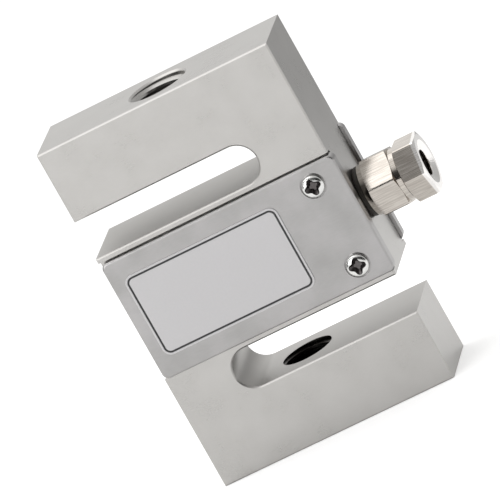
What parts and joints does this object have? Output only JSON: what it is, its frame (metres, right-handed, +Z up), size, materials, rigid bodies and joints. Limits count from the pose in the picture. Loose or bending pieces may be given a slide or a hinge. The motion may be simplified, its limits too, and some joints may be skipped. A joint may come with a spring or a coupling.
{
  "type": "s type load cell",
  "caption": "S-shaped metal load cell with threaded holes on its load axis, screwed covers over the gauge cavity and a cable gland at the side.",
  "frame": {"origin": "centre of the base face of the lower arm, on the load axis", "axes": "+Z up along the load axis, the front cover faces -Y, the cable gland points along +X"},
  "size_m": [0.0653, 0.0228, 0.076],
  "materials": {
    "plated_block": "fine-milled and nickel-plated, satin",
    "plated_cover": "nickel-plated, smooth satin",
    "label": "silver film with a thin dark border line",
    "screw_steel": "bright nickel-plated",
    "gland_nickel": "turned and milled, bright nickel plate",
    "black_rubber": "matte",
    "claw_plastic": "matte",
    "gauge_film": "amber polyimide film",
    "circuit_board": "solder mask",
    "chip_ceramic": "matte",
    "lead_ribbon": "copper ribbon in amber film"
  },
  "bodies": {
    "root": {"load_block": "plated_block", "front_cover": "plated_cover", "back_cover": "plated_cover", "front_gasket": "black_rubber", "back_gasket": "black_rubber", "label_plate": "label", "front_screw_upper": "screw_steel", "front_screw_lower": "screw_steel", "back_screw_upper": "screw_steel", "back_screw_lower": "screw_steel", "strain_gauge_upper_left": "gauge_film", "strain_gauge_lower_left": "gauge_film", "strain_gauge_upper_right": "gauge_film", "strain_gauge_lower_right": "gauge_film", "terminal_board": "circuit_board", "trim_resistors": "chip_ceramic", "gauge_leads": "lead_ribbon", "gland_washer": "black_rubber", "gland_body": "gland_nickel", "gland_seal": "black_rubber", "gland_claw": "claw_plastic", "gland_cap_nut": "gland_nickel"}
  },
  "joints": []
}
